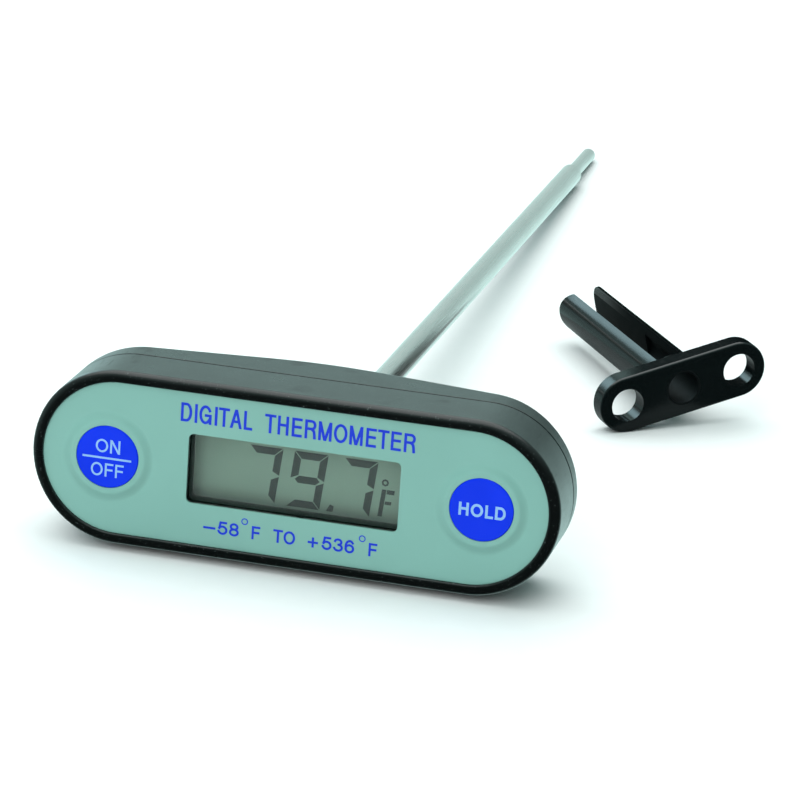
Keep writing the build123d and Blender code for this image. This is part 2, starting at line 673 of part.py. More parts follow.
with BuildPart() as battery_cap:
    with BuildSketch(at_depth(CAP_SEAT_DEPTH + CAP_T)):
        with Locations((CELL_X, 0)):
            Circle(CAP_FLANGE_R)
    extrude(amount=CAP_T - CAP_SEAT_GAP)
    fillet(battery_cap.edges().group_by(Axis.Y)[-1], radius=CAP_EDGE_R)
    with BuildSketch(at_depth(CAP_SEAT_DEPTH + CAP_SEAT_GAP)):
        with Locations((CELL_X, 0)):
            Circle(CAP_PLUG_R)
    extrude(amount=CAP_SEAT_DEPTH + CAP_SEAT_GAP - CAP_PLUG_FRONT)
    # bayonet lugs
    with BuildSketch(at_depth(CAP_PLUG_FRONT + LUG_T)):
        with Locations((CELL_X, 0)):
            Circle(LUG_R)
            Rectangle(2 * LUG_R, LUG_W, mode=Mode.INTERSECT)
    extrude(amount=LUG_T)
    # cup over the cell
    with BuildSketch(at_depth(CAP_SEAT_DEPTH)):
        with Locations((CELL_X, 0)):
            Circle(CAP_CUP_R)
    extrude(amount=CAP_SEAT_DEPTH - CAP_PLUG_FRONT, mode=Mode.SUBTRACT)
    # groove for the sealing ring
    with BuildSketch(at_depth(CAP_RING_DEPTH + CAP_RING_SECTION_R)):
        with Locations((CELL_X, 0)):
            Circle(CAP_BORE_R)
            Circle(CAP_RING_R - CAP_RING_SECTION_R, mode=Mode.SUBTRACT)
    extrude(amount=2 * CAP_RING_SECTION_R, mode=Mode.SUBTRACT)
    # coin slot
    with BuildSketch(at_depth(CAP_SEAT_DEPTH + CAP_T)):
        with Locations(Location((CELL_X, 0), COIN_SLOT_ANGLE)):
            SlotOverall(COIN_SLOT_L, COIN_SLOT_W)
    extrude(amount=COIN_SLOT_DEPTH, mode=Mode.SUBTRACT)
battery_cap.part.label = "battery_cap"
export_step(battery_cap.part, "parts/battery_cap.step")

with BuildPart() as battery_cap_ring:
    with BuildSketch(Plane(origin=(CELL_X, FACE_Y + CAP_RING_DEPTH, STEM_Z), z_dir=(0, 0, 1))):
        with Locations((CAP_RING_R, 0)):
            Circle(CAP_RING_SECTION_R)
    revolve(axis=Axis((CELL_X, 0, STEM_Z), (0, 1, 0)))
battery_cap_ring.part.label = "battery_cap_ring"
export_step(battery_cap_ring.part, "parts/battery_cap_ring.step")

with BuildPart() as battery_pad:
    with BuildSketch(at_depth(CAP_SEAT_DEPTH)):
        with Locations((CELL_X, 0)):
            Circle(PAD_R)
    extrude(amount=CAP_SEAT_DEPTH - CELL_BACK)
battery_pad.part.label = "battery_pad"
export_step(battery_pad.part, "parts/battery_pad.step")


# ---- Stem ---------------------------------------------------------------------------------

with BuildPart() as stem_tube:
    with BuildSketch(at_depth(STEM_END_DEPTH)):
        Circle(STEM_R)
    extrude(amount=STEM_END_DEPTH - COLLAR_DEPTH)
    with BuildSketch(at_depth(COLLAR_DEPTH)):
        Circle(SEAT_R)
    extrude(amount=COLLAR_DEPTH - SEAT_END_DEPTH)
    with BuildSketch(at_depth(STEM_END_DEPTH)):
        Circle(STEM_BORE_R)
    extrude(amount=STEM_END_DEPTH - SEAT_END_DEPTH, mode=Mode.SUBTRACT)
stem_tube.part.label = "stem_tube"
export_step(stem_tube.part, "parts/stem_tube.step")

STEM_AXIS = Axis((0, 0, STEM_Z), (0, 1, 0))
STEM_SECTION = Plane(origin=(0, FACE_Y, STEM_Z), z_dir=(0, 0, 1))

with BuildPart() as stem_tip:
    with BuildSketch(STEM_SECTION):
        with BuildLine():
            Polyline(
                (TIP_BORE_R, SPIGOT_DEPTH),
                (STEM_BORE_R, SPIGOT_DEPTH),
                (STEM_BORE_R, STEM_END_DEPTH),
                (STEM_R, STEM_END_DEPTH),
                (STEM_R, STEM_END_DEPTH + SHOULDER_STRAIGHT),
            )
            ThreePointArc(
                (STEM_R, STEM_END_DEPTH + SHOULDER_STRAIGHT),
                (STEM_R - SHOULDER_BEND_IN, STEM_END_DEPTH + SHOULDER_STRAIGHT + SHOULDER_BEND_ON),
                (TIP_R, TIP_NECK_DEPTH),
            )
            Polyline(
                (TIP_R, TIP_NECK_DEPTH),
                (TIP_R, TIP_CONE_DEPTH),
                (TIP_NOSE_R, TIP_END_DEPTH),
                (0, TIP_END_DEPTH),
                (0, TIP_CONE_DEPTH),
                (TIP_BORE_R, TIP_CONE_DEPTH),
                (TIP_BORE_R, SPIGOT_DEPTH),
            )
        make_face()
    revolve(axis=STEM_AXIS)
stem_tip.part.label = "stem_tip"
export_step(stem_tip.part, "parts/stem_tip.step")

with BuildPart() as stem_ferrule:
    with BuildSketch(at_depth(BOSS_FRONT)):
        Circle(FERRULE_R)
        Circle(SEAT_R, mode=Mode.SUBTRACT)
    extrude(amount=BOSS_FRONT - SEAT_END_DEPTH)
stem_ferrule.part.label = "stem_ferrule"
export_step(stem_ferrule.part, "parts/stem_ferrule.step")

with BuildPart() as stem_ring:
    with BuildSketch(STEM_SECTION):
        with Locations((STEM_RING_R, BOSS_FRONT + STEM_RING_SECTION_R)):
            Circle(STEM_RING_SECTION_R)
    revolve(axis=STEM_AXIS)
stem_ring.part.label = "stem_ring"
export_step(stem_ring.part, "parts/stem_ring.step")

with BuildPart() as sensor_bead:
    with BuildSketch(at_depth(SENSOR_DEPTH + SENSOR_L)):
        Circle(SENSOR_R)
    extrude(amount=SENSOR_L)
    fillet(sensor_bead.edges().group_by(Axis.Y)[-1], radius=SENSOR_END_R)
sensor_bead.part.label = "sensor_bead"
export_step(sensor_bead.part, "parts/sensor_bead.step")

with BuildPart() as sensor_leads:
    with BuildSketch(at_depth(SENSOR_DEPTH)):
        with Locations((-LEAD_X, 0), (LEAD_X, 0)):
            Circle(LEAD_R)
    extrude(amount=SENSOR_DEPTH - BOARD_BACK)
sensor_leads.part.label = "sensor_leads"
export_step(sensor_leads.part, "parts/sensor_leads.step")

with BuildPart() as stem_potting:
    with BuildSketch(at_depth(SEAT_END_DEPTH + POTTING_L)):
        Circle(STEM_BORE_R)
        with Locations((-LEAD_X, 0), (LEAD_X, 0)):
            Circle(LEAD_R, mode=Mode.SUBTRACT)
    extrude(amount=POTTING_L)
stem_potting.part.label = "stem_potting"
export_step(stem_potting.part, "parts/stem_potting.step")

with BuildPart() as tip_filler:
    with BuildSketch(at_depth(TIP_CONE_DEPTH)):
        Circle(TIP_BORE_R)
    extrude(amount=TIP_CONE_DEPTH - FILLER_DEPTH)
    add(sensor_bead.part, mode=Mode.SUBTRACT)
    add(sensor_leads.part, mode=Mode.SUBTRACT)
tip_filler.part.label = "tip_filler"
export_step(tip_filler.part, "parts/tip_filler.step")


# ---- Clip ---------------------------------------------------------------------------------

# The bench is the plane that the head's heel and the stem's tip touch together.
BENCH_TILT = degrees(atan2(STEM_Z - TIP_R, TIP_CONE_DEPTH - HEEL_DEPTH))
BENCH = Plane(origin=(0, FACE_Y + HEEL_DEPTH, 0)).rotated((BENCH_TILT, 0, 0))

CLIP_HEIGHT = CLIP_PLATE_R * cos(radians(CLIP_DROOP)) + CLIP_HOLE_X * sin(radians(CLIP_LEAN))


def turned(direction, about, angle):
    """A direction turned about another one by an angle in degrees."""
    return direction.rotate(Axis((0, 0, 0), about), angle)


# The clip stands on the bench, turned, with its tail down, and leans on its plate's lower end.
clip_across = turned(BENCH.x_dir, BENCH.z_dir, CLIP_YAW)
clip_tail = turned(turned(BENCH.y_dir, BENCH.z_dir, CLIP_YAW), clip_across, -CLIP_DROOP)
CLIP_FRONT = Plane(
    origin=BENCH.from_local_coords(Vector(CLIP_BENCH_X, CLIP_BENCH_Y, CLIP_HEIGHT)),
    x_dir=turned(clip_across, clip_tail, -CLIP_LEAN),
    z_dir=-clip_tail,
)

with BuildPart() as stem_clip:
    # sleeve, tapering towards its tail
    with BuildSketch(CLIP_FRONT.offset(-CLIP_PLATE_T)):
        Circle(CLIP_SLEEVE_ROOT_R)
    with BuildSketch(CLIP_FRONT.offset(-CLIP_PLATE_T - CLIP_SLEEVE_L)):
        Circle(CLIP_SLEEVE_TIP_R)
    loft()
    # round bore behind the plate
    with BuildSketch(CLIP_FRONT.offset(-CLIP_PLATE_T - CLIP_TROUGH_L)):
        Circle(CLIP_TROUGH_R)
    extrude(amount=CLIP_TROUGH_L, mode=Mode.SUBTRACT)
    # slot: open at the top all along, and right through past the bore, leaving two prongs
    with BuildSketch(CLIP_FRONT.offset(-CLIP_PLATE_T - CLIP_SLEEVE_L)):
        with Locations((0, CLIP_SLEEVE_ROOT_R)):
            Rectangle(CLIP_SLOT_W, 2 * CLIP_SLEEVE_ROOT_R)
    extrude(amount=CLIP_SLEEVE_L - CLIP_SLOT_START, mode=Mode.SUBTRACT)
    with BuildSketch(CLIP_FRONT.offset(-CLIP_PLATE_T - CLIP_SLEEVE_L)):
        Rectangle(CLIP_SLOT_W, 3 * CLIP_SLEEVE_ROOT_R)
    extrude(amount=CLIP_SLEEVE_L - CLIP_TROUGH_L, mode=Mode.SUBTRACT)
    # round the prongs' free corners in the flank view
    flank = Plane(
        origin=CLIP_FRONT.from_local_coords(Vector(0, 0, -CLIP_PLATE_T - CLIP_SLEEVE_L)),
        x_dir=CLIP_FRONT.y_dir,
        z_dir=CLIP_FRONT.x_dir,
    )
    with BuildSketch(flank) as outline:
        with Locations((0, CLIP_PRONG_END_L / 2)):
            Rectangle(2 * CLIP_PRONG_HALF, CLIP_PRONG_END_L)
        tail_corners = outline.vertices().sort_by(Axis.Y)[:2]
        fillet(tail_corners, radius=CLIP_PRONG_END_R)
        with Locations((0, (CLIP_SLEEVE_L + CLIP_PRONG_END_L) / 2)):
            Rectangle(2 * (CLIP_SLEEVE_ROOT_R + OVERLAP), CLIP_SLEEVE_L - CLIP_PRONG_END_L)
    extrude(amount=2 * CLIP_SLEEVE_ROOT_R, both=True, mode=Mode.INTERSECT)
    # plate
    with BuildSketch(CLIP_FRONT.offset(-CLIP_PLATE_T)):
        SlotCenterToCenter(2 * CLIP_HOLE_X, 2 * CLIP_PLATE_R)
        with Locations((-CLIP_HOLE_X, 0), (CLIP_HOLE_X, 0)):
            Circle(CLIP_END_HOLE_R, mode=Mode.SUBTRACT)
        Circle(CLIP_BORE_R, mode=Mode.SUBTRACT)
    extrude(amount=CLIP_PLATE_T)
    plate_normal = Axis(CLIP_FRONT.origin, CLIP_FRONT.z_dir)
    plate_front = stem_clip.faces().filter_by(CLIP_FRONT).sort_by(plate_normal)[-1]
    fillet(plate_front.outer_wire().edges(), radius=CLIP_PLATE_EDGE_R)
stem_clip.part.label = "stem_clip"
export_step(stem_clip.part, "parts/stem_clip.step")
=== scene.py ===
# Looks of the digital stem thermometer and its clip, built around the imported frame. Metres; X runs
# along the head, Y back along the stem and Z is up.

import json
import math

import bmesh
import bpy
from mathutils import Matrix, Vector


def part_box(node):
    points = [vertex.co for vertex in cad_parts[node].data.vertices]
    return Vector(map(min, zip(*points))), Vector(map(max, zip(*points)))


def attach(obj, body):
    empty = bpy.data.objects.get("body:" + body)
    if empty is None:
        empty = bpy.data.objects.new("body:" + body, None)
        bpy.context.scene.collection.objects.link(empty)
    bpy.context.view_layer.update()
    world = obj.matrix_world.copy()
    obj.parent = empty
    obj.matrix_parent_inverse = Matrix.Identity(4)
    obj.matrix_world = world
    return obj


MM = 0.001

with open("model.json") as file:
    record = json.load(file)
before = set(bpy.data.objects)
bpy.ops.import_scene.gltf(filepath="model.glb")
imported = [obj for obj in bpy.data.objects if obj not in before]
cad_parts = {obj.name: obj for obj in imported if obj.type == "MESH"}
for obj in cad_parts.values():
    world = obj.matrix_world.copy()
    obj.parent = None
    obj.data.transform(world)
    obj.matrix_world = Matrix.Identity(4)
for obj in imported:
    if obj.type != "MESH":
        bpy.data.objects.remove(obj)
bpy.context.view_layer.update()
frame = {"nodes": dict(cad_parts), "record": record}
NODES = frame["nodes"]

# ---- Places, from the frame ----------------------------------------------------------------

PAD_PROUD = 0.12 * MM                               # the embossed pads round the keys
FACE_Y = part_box("face_label")[0].y + PAD_PROUD      # the printed face behind them
STEM_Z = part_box("rear_case")[1].z / 2
KEY_FRONT = {name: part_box(name)[0].y for name in ("on_off_key", "hold_key")}
KEY_X = {name: sum(c.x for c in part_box(name)) / 2 for name in ("on_off_key", "hold_key")}
DISPLAY_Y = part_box("lcd_front_polariser")[0].y
BENCH_TILT = math.radians(3.4313)                   # the head rocks back until the tip touches
HEEL_Y = 11.2 * MM                                  # where the head's heel meets the bench
CLIP_MOUNTS = {m["name"]: m for m in frame["record"]["mounts"] if m["name"].startswith("clip")}
CLIP_HOLES = {name: Vector(mount["pos_m"]) for name, mount in CLIP_MOUNTS.items()}
CLIP_AXIS = Vector(CLIP_MOUNTS["clip_bore"]["axis"])        # out of the plate's front

# The clip's hollows, each with the short distance over which its matt surface ends.
BORE_REACH = (2.90 * MM, 2.95 * MM)                 # from the bore's axis
SLOT_REACH = (2.15 * MM, 2.30 * MM)                 # from the slot's middle
SLEEVE_REACH = (4.2 * MM, 4.3 * MM)                 # from the axis, up to the sleeve's outside
PLATE_BACK = (1.6 * MM, 1.7 * MM)                   # behind the middle of the plate
PRONG_POLISH = (22 * MM, 38 * MM)                   # where the prongs turn glossy again

# Soft looks on the face, measured from the middle of a key or of the window.
PAD_SLOPE = (5.3 * MM, 6.9 * MM)                    # the slope of an embossed pad
PAD_SHADOW = 0.5 * MM                               # how deep the slope is made to look
WINDOW_HALF_W, WINDOW_HALF_H = 15.9 * MM, 5.4 * MM  # just past the window's edges
LOW_SHADE, LEFT_SHADE = 2.6 * MM, 2.5 * MM          # how far in the window's edges look darker


# ---- Node helpers --------------------------------------------------------------------------

def add_node(tree, kind, inputs=None, **settings):
    """A shader node with its settings and its inputs, which are values or other nodes' outputs."""
    made = tree.nodes.new(kind)
    for name, value in settings.items():
        setattr(made, name, value)
    for name, value in (inputs or {}).items():
        if isinstance(value, bpy.types.NodeSocket):
            tree.links.new(value, made.inputs[name])
        else:
            made.inputs[name].default_value = value
    return made


def new_material(name, **sockets):
    """A material whose Principled shader has these uniform sockets."""
    material = bpy.data.materials.new(name)
    material.use_nodes = True
    shader = material.node_tree.nodes["Principled BSDF"]
    for socket, value in sockets.items():
        shader.inputs[socket.replace("_", " ")].default_value = value
    return material, material.node_tree, shader


def noise(tree, size, detail=3.0, stretch=(1, 1, 1), roughness=0.5, offset=(0, 0, 0)):
    """Noise whose grain is about size metres, stretched along the axes, in the piece's own frame."""
    where = add_node(tree, "ShaderNodeTexCoord")
    scale = tuple(1 / (size * s) for s in stretch)
    mapped = add_node(
        tree, "ShaderNodeMapping", {"Vector": where.outputs["Object"], "Scale": scale, "Location": offset}
    )
    return add_node(
        tree,
        "ShaderNodeTexNoise",
        {"Vector": mapped.outputs["Vector"], "Scale": 1.0, "Detail": detail, "Roughness": roughness},
    ).outputs["Fac"]


def spread(tree, fac, low, high, start=0.3, end=0.7):
    """Maps a factor onto a range of numbers."""
    return add_node(
        tree,
        "ShaderNodeMapRange",
        {"Value": fac, "From Min": start, "From Max": end, "To Min": low, "To Max": high},
    ).outputs["Result"]


def mix_colours(tree, fac, first, second):
    """Blends two colours by a factor."""
    made = add_node(tree, "ShaderNodeMix", data_type="RGBA")
    for socket, value in (("Factor_Float", fac), ("A_Color", first), ("B_Color", second)):
        target = next(s for s in made.inputs if s.identifier == socket)
        if isinstance(value, bpy.types.NodeSocket):
            tree.links.new(value, target)
        else:
            target.default_value = value
    return next(s for s in made.outputs if s.identifier == "Result_Color")


def bump(tree, height, depth, strength=1.0, under=None):
    """A bump of this depth in metres, on top of another bump."""
    inputs = {"Height": height, "Distance": depth, "Strength": strength}
    if under is not None:
        inputs["Normal"] = under
    return add_node(tree, "ShaderNodeBump", inputs).outputs["Normal"]


def maths(tree, operation, *values):
    """A number worked out from numbers or other nodes' outputs."""
    made = add_node(tree, "ShaderNodeMath", operation=operation)
    for socket, value in zip(made.inputs, values):
        if isinstance(value, bpy.types.NodeSocket):
            tree.links.new(value, socket)
        else:
            socket.default_value = value
    return made.outputs[0]


def vector_maths(tree, operation, first, second=(0, 0, 0), output="Vector"):
    """A vector, or a number, worked out from one or two vectors."""
    made = add_node(tree, "ShaderNodeVectorMath", operation=operation)
    for socket, value in zip(made.inputs, (first, second)):
        if isinstance(value, bpy.types.NodeSocket):
            tree.links.new(value, socket)
        else:
            socket.default_value = value
    return made.outputs[output]


def soft_step(tree, value, start, end, low=0.0, high=1.0):
    """Goes smoothly from low to high as a value goes from start to end."""
    return add_node(
        tree,
        "ShaderNodeMapRange",
        {"Value": value, "From Min": start, "From Max": end, "To Min": low, "To Max": high},
        interpolation_type="SMOOTHSTEP",
    ).outputs["Result"]


def shade(colour, factor):
    """A colour made lighter or darker."""
    return tuple(min(1.0, c * factor) for c in colour[:3]) + (1.0,)


# ---- Materials -----------------------------------------------------------------------------

PALE_SPECK = (0.30, 0.36, 0.35, 1)


def moulded_plastic(name, colour, rough, grain=0.12 * MM, depth=0.012 * MM, specks=0.0, **sockets):
    """Moulded plastic: fine spark-eroded grain, slow flow marks, hair-fine scratches and pale specks."""
    material, tree, shader = new_material(name, **sockets)
    flow = noise(tree, 9 * MM, detail=2.0)
    fine = noise(tree, grain, detail=2.0)
    scratches = noise(tree, 0.5 * MM, detail=1.0, stretch=(8, 8, 0.35))
    tone = mix_colours(tree, flow, shade(colour, 0.88), shade(colour, 1.12))
    dust = spread(tree, noise(tree, 0.3 * MM, detail=1.0), 0.0, specks, 0.68, 0.76)
    tree.links.new(mix_colours(tree, dust, tone, PALE_SPECK), shader.inputs["Base Color"])
    uneven = spread(tree, flow, rough * 0.88, rough * 1.12)
    worn = spread(tree, scratches, 0.0, 0.08, 0.62, 0.75)
    tree.links.new(maths(tree, "ADD", uneven, worn), shader.inputs["Roughness"])
    tree.links.new(bump(tree, fine, depth), shader.inputs["Normal"])
    return material


def hollowed_plastic(name, colour, rough):
    """The clip's glossy plastic, made matt in its bores and slot, which are black in the photo."""
    material = moulded_plastic(name, colour, rough, depth=0.004 * MM)
    tree = material.node_tree
    shader = tree.nodes["Principled BSDF"]
    where = add_node(tree, "ShaderNodeTexCoord").outputs["Object"]
    from_bore = vector_maths(tree, "SUBTRACT", where, CLIP_HOLES["clip_bore"])
    sideways = (CLIP_HOLES["clip_hole_right"] - CLIP_HOLES["clip_hole_left"]).normalized()
    off_axis = vector_maths(tree, "CROSS_PRODUCT", from_bore, CLIP_AXIS)
    radius = vector_maths(tree, "LENGTH", off_axis, output="Value")
    aside = maths(tree, "ABSOLUTE", vector_maths(tree, "DOT_PRODUCT", from_bore, sideways, "Value"))
    behind = vector_maths(tree, "DOT_PRODUCT", from_bore, -CLIP_AXIS, "Value")
    in_bore = soft_step(tree, radius, *BORE_REACH, 1.0, 0.0)
    in_section = maths(
        tree, "MULTIPLY",
        soft_step(tree, aside, *SLOT_REACH, 1.0, 0.0), soft_step(tree, radius, *SLEEVE_REACH, 1.0, 0.0),
    )
    in_length = maths(
        tree, "MULTIPLY",
        soft_step(tree, behind, *PLATE_BACK), soft_step(tree, behind, *PRONG_POLISH, 1.0, 0.15),
    )
    inside = maths(tree, "MAXIMUM", in_bore, maths(tree, "MULTIPLY", in_section, in_length))
    glossy = shader.inputs["Roughness"].links[0].from_socket
    matt = maths(tree, "MULTIPLY", inside, 0.45)
    tree.links.new(maths(tree, "ADD", glossy, matt), shader.inputs["Roughness"])
    tree.links.new(spread(tree, inside, 0.5, 0.22, 0.0, 1.0), shader.inputs["Specular IOR Level"])
    return material


def brushed_metal(name, colour, rough, along, depth=0.004 * MM, **sockets):
    """Drawn or brushed metal with its grain running along one axis."""
    material, tree, shader = new_material(name, Metallic=1.0, **sockets)
    stretch = tuple(60.0 if axis == along else 1.0 for axis in "XYZ")
    grain = noise(tree, 0.12 * MM, detail=4.0, stretch=stretch)
    cloud = noise(tree, 12 * MM, detail=2.0)
    tone = mix_colours(tree, cloud, shade(colour, 0.93), shade(colour, 1.06))
    tree.links.new(tone, shader.inputs["Base Color"])
    tree.links.new(spread(tree, grain, rough * 0.8, rough * 1.25), shader.inputs["Roughness"])
    tree.links.new(bump(tree, grain, depth), shader.inputs["Normal"])
    return material


def plated_metal(name, colour, rough):
    """Plated metal with slight tarnish in patches."""
    material, tree, shader = new_material(name, Metallic=1.0)
    patches = noise(tree, 2.5 * MM, detail=4.0)
    fine = noise(tree, 0.08 * MM, detail=2.0)
    tone = mix_colours(tree, spread(tree, patches, 0, 1, 0.4, 0.75), colour, shade(colour, 0.72))
    tree.links.new(tone, shader.inputs["Base Color"])
    tree.links.new(spread(tree, patches, rough * 0.8, rough * 1.5), shader.inputs["Roughness"])
    tree.links.new(bump(tree, fine, 0.003 * MM), shader.inputs["Normal"])
    return material


def printed_film(name, colour):
    """Satin printed film: faint ink mottling, a soft orange-peel surface and a little dust."""
    material, tree, shader = new_material(name)
    mottle = noise(tree, 14 * MM, detail=3.0)
    speckle = noise(tree, 0.25 * MM, detail=2.0)
    tone = mix_colours(tree, mottle, shade(colour, 0.95), shade(colour, 1.05))
    dusty = mix_colours(tree, spread(tree, speckle, 0.0, 0.12, 0.66, 0.8), tone, shade(colour, 1.5))
    tree.links.new(dusty, shader.inputs["Base Color"])
    tree.links.new(spread(tree, mottle, 0.42, 0.52), shader.inputs["Roughness"])
    peel = bump(tree, noise(tree, 0.9 * MM, detail=1.0), 0.006 * MM)
    # a bump that makes the modelled slope round each key show more
    where = add_node(tree, "ShaderNodeTexCoord").outputs["Object"]
    pads = []
    for key_x in KEY_X.values():
        from_key = vector_maths(tree, "SUBTRACT", where, (key_x, FACE_Y, STEM_Z))
        radius = vector_maths(tree, "LENGTH", from_key, output="Value")
        pads.append(soft_step(tree, radius, *PAD_SLOPE, 1.0, 0.0))
    pressed = bump(tree, maths(tree, "MAXIMUM", *pads), PAD_SHADOW, under=peel)
    tree.links.new(bump(tree, speckle, 0.002 * MM, under=pressed), shader.inputs["Normal"])
    return material


def ink(name, colour, rough=0.5):
    """Screen-printed ink with a slightly uneven coat."""
    material, tree, shader = new_material(name)
    coat = noise(tree, 0.35 * MM, detail=3.0)
    tone = mix_colours(tree, coat, shade(colour, 0.88), shade(colour, 1.12))
    tree.links.new(tone, shader.inputs["Base Color"])
    tree.links.new(spread(tree, coat, rough * 0.9, rough * 1.1), shader.inputs["Roughness"])
    tree.links.new(bump(tree, coat, 0.002 * MM), shader.inputs["Normal"])
    return material


def clear_plastic(name, tint, rough=0.04):
    """Clear moulded window with faint hairline wear and specks."""
    material, tree, shader = new_material(name, Base_Color=tint, Transmission_Weight=1.0, IOR=1.49)
    specks = noise(tree, 0.3 * MM, detail=2.0)
    tree.links.new(spread(tree, specks, rough, rough * 5, 0.6, 0.85), shader.inputs["Roughness"])
    tree.links.new(bump(tree, noise(tree, 6 * MM, detail=1.0), 0.004 * MM), shader.inputs["Normal"])
    return material


def display_film(name, colour):
    """The display's grey-green reflective look, a little cloudy."""
    material, tree, shader = new_material(name)
    cloud = noise(tree, 5 * MM, detail=3.0)
    fine = noise(tree, 0.1 * MM, detail=2.0)
    tone = mix_colours(tree, cloud, shade(colour, 0.94), shade(colour, 1.07))
    # a painted shade along the window's left and lower edges, as the photo's recess is darker
    where = add_node(tree, "ShaderNodeTexCoord").outputs["Object"]
    place = add_node(tree, "ShaderNodeSeparateXYZ", {"Vector": where}).outputs
    bottom = STEM_Z - WINDOW_HALF_H
    low = soft_step(tree, place["Z"], bottom, bottom + LOW_SHADE, 0.5, 1.0)
    left = soft_step(tree, place["X"], -WINDOW_HALF_W, LEFT_SHADE - WINDOW_HALF_W, 0.65, 1.0)
    edge = maths(tree, "MULTIPLY", low, left)
    tree.links.new(mix_colours(tree, edge, (0, 0, 0, 1), tone), shader.inputs["Base Color"])
    tree.links.new(spread(tree, fine, 0.5, 0.6), shader.inputs["Roughness"])
    tree.links.new(bump(tree, fine, 0.002 * MM), shader.inputs["Normal"])
    return material


def soft_rubber(name, colour, rough=0.7):
    """Rubber or foam with a fine matt skin."""
    material, tree, shader = new_material(name)
    pores = noise(tree, 0.18 * MM, detail=4.0)
    tone = mix_colours(tree, pores, shade(colour, 0.7), shade(colour, 1.3))
    tree.links.new(tone, shader.inputs["Base Color"])
    tree.links.new(spread(tree, pores, rough * 0.9, rough * 1.1), shader.inputs["Roughness"])
    tree.links.new(bump(tree, pores, 0.02 * MM), shader.inputs["Normal"])
    return material


def board_laminate(name):
    """Green solder mask over copper tracks."""
    material, tree, shader = new_material(name)
    where = add_node(tree, "ShaderNodeTexCoord").outputs["Object"]
    tracks = add_node(
        tree, "ShaderNodeTexBrick",
        {"Vector": where, "Scale": 260.0, "Mortar Size": 0.09, "Color1": (1, 1, 1, 1),
         "Color2": (1, 1, 1, 1), "Mortar": (0, 0, 0, 1)},
    ).outputs["Fac"]
    mask, copper = (0.012, 0.13, 0.05, 1), (0.03, 0.26, 0.09, 1)
    tree.links.new(mix_colours(tree, tracks, mask, copper), shader.inputs["Base Color"])
    tree.links.new(spread(tree, noise(tree, 2 * MM), 0.3, 0.42), shader.inputs["Roughness"])
    tree.links.new(bump(tree, tracks, 0.02 * MM), shader.inputs["Normal"])
    return material


BLACK = (0.003, 0.0043, 0.0043, 1)

MATERIALS = {
    "case_plastic": moulded_plastic("case_plastic", BLACK, 0.30, depth=0.016 * MM, specks=0.22),
    "cap_plastic": moulded_plastic("cap_plastic", BLACK, 0.38, grain=0.2 * MM),
    "clip_plastic": hollowed_plastic("clip_plastic", (0.0025, 0.005, 0.0055, 1), 0.17),
    "frame_plastic": moulded_plastic("frame_plastic", (0.055, 0.072, 0.068, 1), 0.6),
    "switch_plastic": moulded_plastic("switch_plastic", (0.03, 0.03, 0.03, 1), 0.5),
    "key_plastic": moulded_plastic(
        "key_plastic", (0.0003, 0.034, 0.86, 1), 0.32, depth=0.006 * MM, Specular_IOR_Level=0.2
    ),
    "label_film": printed_film("label_film", (0.246, 0.497, 0.440, 1)),
    "clear_window": clear_plastic("clear_window", (0.97, 1.0, 0.985, 1)),
    "display_glass": clear_plastic("display_glass", (0.95, 1.0, 0.98, 1)),
    "polariser_film": display_film("polariser_film", (0.33, 0.50, 0.40, 1)),
    "reflector_film": display_film("reflector_film", (0.24, 0.31, 0.27, 1)),
    "zebra_rubber": soft_rubber("zebra_rubber", (0.25, 0.16, 0.16, 1)),
    "seal_rubber": soft_rubber("seal_rubber", (0.02, 0.02, 0.02, 1), 0.55),
    "pad_foam": soft_rubber("pad_foam", (0.05, 0.05, 0.05, 1), 0.85),
    "board_laminate": board_laminate("board_laminate"),
    "black_epoxy": moulded_plastic("black_epoxy", (0.015, 0.015, 0.015, 1), 0.35),
    "capacitor_ceramic": moulded_plastic("capacitor_ceramic", (0.38, 0.25, 0.14, 1), 0.4),
    "clear_epoxy": moulded_plastic("clear_epoxy", (0.45, 0.30, 0.10, 1), 0.25),
    "bright_steel": plated_metal("bright_steel", (0.70, 0.70, 0.68, 1), 0.22),
    "stem_steel": brushed_metal("stem_steel", (0.54, 0.50, 0.49, 1), 0.30, "Y", depth=0.0028 * MM),
    "contact_brass": plated_metal("contact_brass", (0.72, 0.58, 0.30, 1), 0.28),
    "lead_copper": plated_metal("lead_copper", (0.75, 0.36, 0.20, 1), 0.3),
    "sensor_glass": moulded_plastic("sensor_glass", (0.16, 0.04, 0.02, 1), 0.12),
}

for part in frame["record"]["subparts"]:
    data = NODES[part["node"]].data
    data.materials.clear()
    data.materials.append(MATERIALS[part["material_slot"]])

INK_BLUE = ink("ink_blue", (0.002, 0.035, 0.70, 1))
INK_WHITE = ink("ink_white", (0.30, 0.54, 0.92, 1))
SEGMENT_INK = ink("segment_ink", (0.020, 0.046, 0.040, 1), 0.6)


# ---- Lettering -----------------------------------------------------------------------------

PRINT_T = 0.02 * MM          # thickness of the printed ink
LAYER_STEP = 0.0006          # millimetres between strokes that cross


def mesh_piece(name, mesh, material, body):
    """Puts a finished mesh into the scene as a piece that rides on a body."""
    piece = bpy.data.objects.new(name, mesh)
    bpy.context.scene.collection.objects.link(piece)
    mesh.materials.clear()
    mesh.materials.append(material)
    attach(piece, body)
    return piece


def arc(centre, radii, start, end, steps=20):
    """Points along part of an ellipse, between two angles in degrees."""
    turns = [math.radians(start + (end - start) * i / steps) for i in range(steps + 1)]
    return [(centre[0] + radii[0] * math.cos(t), centre[1] + radii[1] * math.sin(t)) for t in turns]


